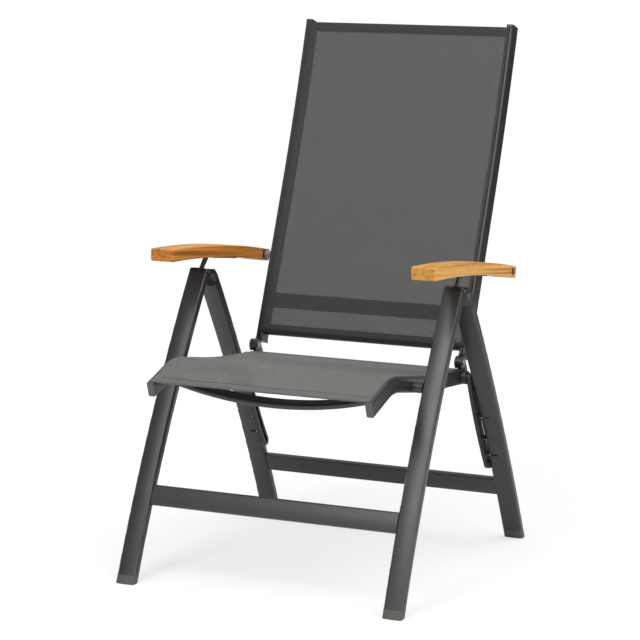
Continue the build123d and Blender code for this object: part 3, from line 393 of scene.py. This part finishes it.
def cloth_piece(name, rows, columns, sag, thick, finish):
    """A woven sheet on a row of points, with a cross-section of (x, lift, distance) points.
    It hangs in by the sag between its edges, less towards its two hems."""
    whole = rows[-1][4]
    half = columns[-1][0]
    sag_fullness = 0.7
    points = []
    faces = []
    for y, z, out_y, out_z, distance in rows:
        slack = sag * math.sin(math.pi * distance / whole) ** sag_fullness
        for x, lift, _ in columns:
            high = lift - slack * max(0.0, 1 - (x / half) ** 2)
            points.append(metres(x, y + out_y * high, z + out_z * high))
    wide = len(columns)
    for row in range(len(rows) - 1):
        for column in range(wide - 1):
            first = row * wide + column
            faces.append((first, first + 1, first + wide + 1, first + wide))
    piece = flat_piece(name, points, faces, finish)
    smooth(piece)
    across = piece.data.attributes.new("cloth_across", "FLOAT", "POINT")
    along = piece.data.attributes.new("cloth_along", "FLOAT", "POINT")
    for index in range(len(points)):
        across.data[index].value = columns[index % wide][2] / 1000
        along.data[index].value = rows[index // wide][4] / 1000
    body = piece.modifiers.new("thickness", "SOLIDIFY")
    body.thickness = thick / 1000
    body.offset = 0
    body.use_even_offset = True
    return piece


def cross_section(groove, lift, depth):
    """The sheet's cross-section: down one groove, over the rails and down the other."""
    count = 56
    groove_lip = 1.5
    fold_in, fold_down = 0.25, 0.35
    fold_end = 0.9
    flat = groove - fold_end
    fold = (groove - fold_in, lift - fold_down)
    down_edge = [(flat, lift), fold, (groove, -groove_lip), (groove, -depth)]
    points = [(-x, high) for x, high in reversed(down_edge)]
    points += [(-flat + 2 * flat * step / count, lift) for step in range(1, count)]
    points += down_edge
    made = []
    walked = 0.0
    for index, (x, high) in enumerate(points):
        if index:
            walked += math.dist(points[index - 1], (x, high))
        made.append((x, high, walked))
    return made


def stitch_row(name, rows, at, half, lift, finish):
    """A row of lockstitches across the sheet: short rounded lengths of thread."""
    pitch, length, radius = 4.2, 3.6, 0.38
    taper = ((-0.5, 0.35), (-0.3, 1.0), (0.3, 1.0), (0.5, 0.35))
    sides = 6
    y, z, out_y, out_z, _ = min(rows, key=lambda row: abs(row[4] - at))
    sewn = bmesh.new()
    for step in range(int(2 * half / pitch)):
        middle = -half + (step + 0.5) * pitch
        rings = []
        for end, size in taper:
            ring = []
            for turn in range(sides):
                angle = math.tau * turn / sides
                side = radius * size * math.cos(angle)
                high = lift + radius * size * math.sin(angle)
                ring.append(sewn.verts.new(metres(
                    middle + end * length,
                    y + out_y * high + out_z * side,
                    z + out_z * high - out_y * side)))
            rings.append(ring)
        for first, second in zip(rings, rings[1:]):
            for turn in range(sides):
                after = (turn + 1) % sides
                sewn.faces.new((first[turn], first[after], second[after], second[turn]))
        sewn.faces.new(rings[0][::-1])
        sewn.faces.new(rings[-1])
    bmesh.ops.recalc_face_normals(sewn, faces=sewn.faces)
    mesh = bpy.data.meshes.new(name)
    sewn.to_mesh(mesh)
    sewn.free()
    mesh.materials.append(finish)
    piece = put(name, mesh)
    smooth(piece)
    return piece


def swept_piece(name, rings, finish):
    """A solid bar through a row of rings that have the same number of points. Its faces
    look outwards."""
    sides = len(rings[0])
    points = [point for ring in rings for point in ring]
    faces = []
    for first in range(0, len(points) - sides, sides):
        for turn in range(sides):
            after = (turn + 1) % sides
            faces.append((first + turn, first + sides + turn, first + sides + after, first + after))
    faces.append(tuple(range(sides)))
    faces.append(tuple(range(len(points) - sides, len(points)))[::-1])
    return flat_piece(name, points, faces, finish)


def edge_cord(name, rows, x, depth, finish):
    """The cord welded into a long edge of the sling, which holds it in the rail's groove."""
    radius = 1.8
    sides = 12
    rings = []
    for y, z, out_y, out_z, _ in rows:
        ring = []
        for turn in range(sides):
            angle = math.tau * turn / sides
            high = -depth + radius * math.sin(angle)
            ring.append(metres(x + radius * math.cos(angle), y + out_y * high, z + out_z * high))
        rings.append(ring)
    piece = swept_piece(name, rings, finish)
    for face in piece.data.polygons:
        face.use_smooth = len(face.vertices) < sides
    return piece


def trim_pieces(sling, rows, columns, groove, ends, hem_width, hem_half, stitch_half, finish):
    """A sling's trim: at each end the cloth turned under and sewn down, and its edge cords."""
    length = rows[-1][4]
    hem_thick = 1.0
    hem_lift = -0.85
    fold_to_stitch = 3.0
    thread_proud = 0.1
    stitch_at = hem_width - fold_to_stitch
    stitch_lift = cloth_lift + cloth_thick / 2 + thread_proud
    hem_columns = [(x, hem_lift, distance) for x, _, distance in columns if abs(x) < hem_half]
    first_rows = [row for row in rows if row[4] <= hem_width]
    last_rows = [row for row in rows if row[4] >= length - hem_width]
    made = []
    for end, hem_rows, at in (
            (ends[0], first_rows, stitch_at),
            (ends[1], last_rows, length - stitch_at)):
        name = f"{sling.name}_{end}"
        made.append(cloth_piece(name + "_hem", hem_rows, hem_columns, 0.0, hem_thick, finish))
        made.append(stitch_row(name + "_stitches", rows, at, stitch_half, stitch_lift, sewing_thread))
    for side, way in (("right", 1), ("left", -1)):
        made.append(edge_cord(f"{sling.name}_cord_{side}", rows, way * groove, groove_depth, sewing_thread))
    return made


cloth_gap = 0.3
cloth_thick = 1.2
cloth_lift = cloth_gap + cloth_thick / 2
groove_depth = 4.6
yarn_pitch = 0.0016
# The seat's cloth: the back's mesh painted paler, as painted light on a face turned up to the lamps.
seat_mesh_painted_lighter = mesh_finish("seat_mesh_painted_lighter", pitch=yarn_pitch, hole=0.975,
                        dark=(0.078, 0.0765, 0.0715), light=(0.134, 0.1315, 0.124))
sewing_thread = coat_finish("sewing_thread", roughness=0.6, pebble=0.2,
                            dark=(0.02, 0.02, 0.02), light=(0.035, 0.034, 0.033))

# The top of the seat rails from front to rear, as (y, z) in millimetres, and its bends.
seat_groove = 226.37
seat_corners = [(-361.86, 399.76), (-264.36, 430.36), (-94.36, 398.86), (93.64, 380.76)]
seat_bends = (130.0, 1185.0)
seat_rear_gap = 15.0
seat_sag = 1.0
seat_line = bent_line(seat_corners, seat_bends, spacing=5.0)
seat_cloth_length = sum(math.dist(a, b) for a, b in zip(seat_line, seat_line[1:])) - seat_rear_gap
seat_rows = measured_rows(seat_line, spacing=6.0, stop=seat_cloth_length)
seat_columns = cross_section(seat_groove, cloth_lift, groove_depth)
seat_sling = cloth_piece("seat_sling", seat_rows, seat_columns, seat_sag, cloth_thick, seat_mesh_painted_lighter)
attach(seat_sling, "seat")
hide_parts("seat_fabric")
seat_extras = trim_pieces(seat_sling, seat_rows, seat_columns, seat_groove, ("front", "rear"),
                          hem_width=20.0, hem_half=216.0, stitch_half=214.0, finish=seat_mesh_painted_lighter)
for piece in seat_extras:
    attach(piece, "seat")

# Back frame: two tall aluminium rails, coated nearly black, with a slight forward curve in
# their upper half, a moulded cap on top and a fitting bolted on below, and three tubes
# between them.
rail_coat = coat_finish("rail_coat", roughness=0.36,
                        dark=(0.009, 0.009, 0.0088), light=(0.016, 0.016, 0.0155))
coat(rail_coat, "back_rail_", "back_top_tube", "back_bottom_tube", "back_lumbar_tube")
coat(fitting_black, "back_top_cap_", "back_hinge_fitting_")
coat(plated_steel, "back_hinge_bolts")

# Back sling: a darker mesh with wider holes, cut longer, held by the same cords in the
# rails' grooves and hemmed at the top and the bottom. The lumbar tube shows through it.
back_mesh = mesh_finish("back_mesh", pitch=yarn_pitch, hole=0.906,
                        dark=(0.016, 0.0155, 0.0147), light=(0.033, 0.032, 0.0302))

# The front of the back rails from the foot up, in millimetres: a straight run, then a curve.
back_groove = 224.57
back_start_y, back_start_z = 105.49, 420.74
back_straight = 295.0
back_lean = math.radians(22.6)
back_radius = 4300.0
back_curve = 371.0
back_steps = 40
back_sag = 2.0
bend_y = back_start_y + back_straight * math.sin(back_lean)
bend_z = back_start_z + back_straight * math.cos(back_lean)
back_line = [(back_start_y, back_start_z), (bend_y, bend_z)]
for step in range(1, back_steps + 1):
    lean = back_lean - back_curve / back_radius * step / back_steps
    back_line.append((
        bend_y - back_radius * (math.cos(back_lean) - math.cos(lean)),
        bend_z + back_radius * (math.sin(back_lean) - math.sin(lean))))
back_rows = measured_rows(back_line, spacing=8.0)
back_columns = cross_section(back_groove, cloth_lift, groove_depth)
back_sling = cloth_piece("back_sling", back_rows, back_columns, back_sag, cloth_thick, back_mesh)
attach(back_sling, "backrest")
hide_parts("back_fabric")
back_extras = trim_pieces(back_sling, back_rows, back_columns, back_groove, ("bottom", "top"),
                          hem_width=17.0, hem_half=214.0, stitch_half=212.0, finish=back_mesh)
for piece in back_extras:
    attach(piece, "backrest")


# Arms: solid teak sawn to a gentle arch, rounded over and oiled, the left one in darker
# tones than the right. A notched black rack is let into the underside, with a plate at the rear
# end, and a bolt through a grey spacer holds each arm to its back rail.
def teak_finish(name, dark, middle, light):
    """Oiled teak: long figure along the arm, fine dark pores, darker end grain, satin oil."""
    made, tree, shader = new_finish(name)
    shader.inputs["Specular IOR Level"].default_value = 0.25
    grain_slope = math.radians(7.3)
    pore_brown = (0.20, 0.085, 0.026)
    end_sharpness = 4.0
    end_darkness = 0.55
    along = add(tree, "ShaderNodeMapping", {"Rotation": (grain_slope, 0.0, 0.0)})
    figure_place = add(tree, "ShaderNodeMapping", {"Scale": (100.0, 2.2, 170.0)})
    pore_place = add(tree, "ShaderNodeMapping", {"Scale": (900.0, 26.0, 900.0)})
    figure = add(tree, "ShaderNodeTexNoise", {"Scale": 1.0, "Detail": 3.0, "Distortion": 0.25})
    pores = add(tree, "ShaderNodeTexNoise", {"Scale": 1.0, "Detail": 2.0})
    tree.links.new(add(tree, "ShaderNodeTexCoord").outputs["Object"], along.inputs["Vector"])
    for place, noise in ((figure_place, figure), (pore_place, pores)):
        tree.links.new(along.outputs["Vector"], place.inputs["Vector"])
        tree.links.new(place.outputs["Vector"], noise.inputs["Vector"])

    tones = add(tree, "ShaderNodeValToRGB")
    ramp = tones.color_ramp
    ramp.elements[0].position = 0.36
    ramp.elements[0].color = (*dark, 1)
    ramp.elements[1].position = 0.66
    ramp.elements[1].color = (*light, 1)
    ramp.elements.new(0.47).color = (*middle, 1)
    tree.links.new(figure.outputs["Fac"], tones.inputs["Fac"])

    pore_share = add(tree, "ShaderNodeMapRange",
                     {"From Min": 0.55, "From Max": 0.75, "To Min": 0.0, "To Max": 0.45})
    pored = add(tree, "ShaderNodeMix", data_type="RGBA")
    pored.inputs["B"].default_value = (*pore_brown, 1)
    tree.links.new(pores.outputs["Fac"], pore_share.inputs["Value"])
    tree.links.new(pore_share.outputs["Result"], pored.inputs["Factor"])
    tree.links.new(tones.outputs["Color"], pored.inputs["A"])

    facing = add(tree, "ShaderNodeSeparateXYZ")
    toward_end = add(tree, "ShaderNodeMath", operation="ABSOLUTE")
    end_share = add(tree, "ShaderNodeMath", {1: end_sharpness}, operation="POWER")
    end_level = add(tree, "ShaderNodeMath", {1: end_darkness}, operation="MULTIPLY")
    ended = add(tree, "ShaderNodeMix", data_type="RGBA")
    ended.inputs["B"].default_value = (*dark, 1)
    tree.links.new(add(tree, "ShaderNodeNewGeometry").outputs["True Normal"], facing.inputs[0])
    tree.links.new(facing.outputs["Y"], toward_end.inputs[0])
    tree.links.new(toward_end.outputs[0], end_share.inputs[0])
    tree.links.new(end_share.outputs[0], end_level.inputs[0])
    tree.links.new(end_level.outputs[0], ended.inputs["Factor"])
    tree.links.new(pored.outputs["Result"], ended.inputs["A"])
    tree.links.new(ended.outputs["Result"], shader.inputs["Base Color"])
    shine_and_bump(tree, shader, shine_by=figure.outputs["Fac"], least=0.40, most=0.62,
                   height=pores.outputs["Fac"], strength=0.15, depth=0.0003, edge=0.001, invert=True)
    return made


oiled_teak = teak_finish("oiled_teak", dark=(0.36, 0.150, 0.028),
                         middle=(0.60, 0.300, 0.070), light=(0.72, 0.390, 0.105))
darker_teak = teak_finish("darker_teak", dark=(0.27, 0.085, 0.011),
                          middle=(0.53, 0.195, 0.028), light=(0.66, 0.280, 0.050))
grey_moulding = coat_finish("grey_moulding", roughness=0.42, pebble=0.08,
                            dark=(0.15, 0.15, 0.15), light=(0.21, 0.21, 0.21))
coat(oiled_teak, "arm_right")
coat(darker_teak, "arm_left")
coat(moulded_black, "arm_rack_", "arm_end_plate_")
coat(plated_steel, "arm_bolt_")
coat(grey_moulding, "arm_spacers")

# Rack lips: the closed rear part of each rack stands a little proud of the wood, where
# the strut's pin is led in. Each is one moulding with its rack.
lip_thick = 2.5
lip_sunk = 0.4
lip_inset = 1.0
lip_corners = [(-17.0, 589.6), (33.0, 582.9), (81.0, 575.1)]
lip_bends = (2587.7,)
lip_rows = measured_rows(bent_line(lip_corners, lip_bends, spacing=12.0), spacing=8.0)
for side in ("right", "left"):
    low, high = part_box("arm_rack_" + side)
    near = low[0] * 1000 + lip_inset
    far = high[0] * 1000 - lip_inset
    lip_section = ((near, -lip_sunk), (near, lip_thick), (far, lip_thick), (far, -lip_sunk))
    rings = []
    for y, z, out_y, out_z, _ in lip_rows:
        rings.append([metres(x, y - out_y * down, z - out_z * down) for x, down in lip_section])
    lip = swept_piece("arm_rack_lip_" + side, rings, moulded_black)
    edge = lip.modifiers.new("edge", "BEVEL")
    edge.width = 0.0006
    edge.segments = 2
    edge.limit_method = "ANGLE"
    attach(lip, "arm_" + side)
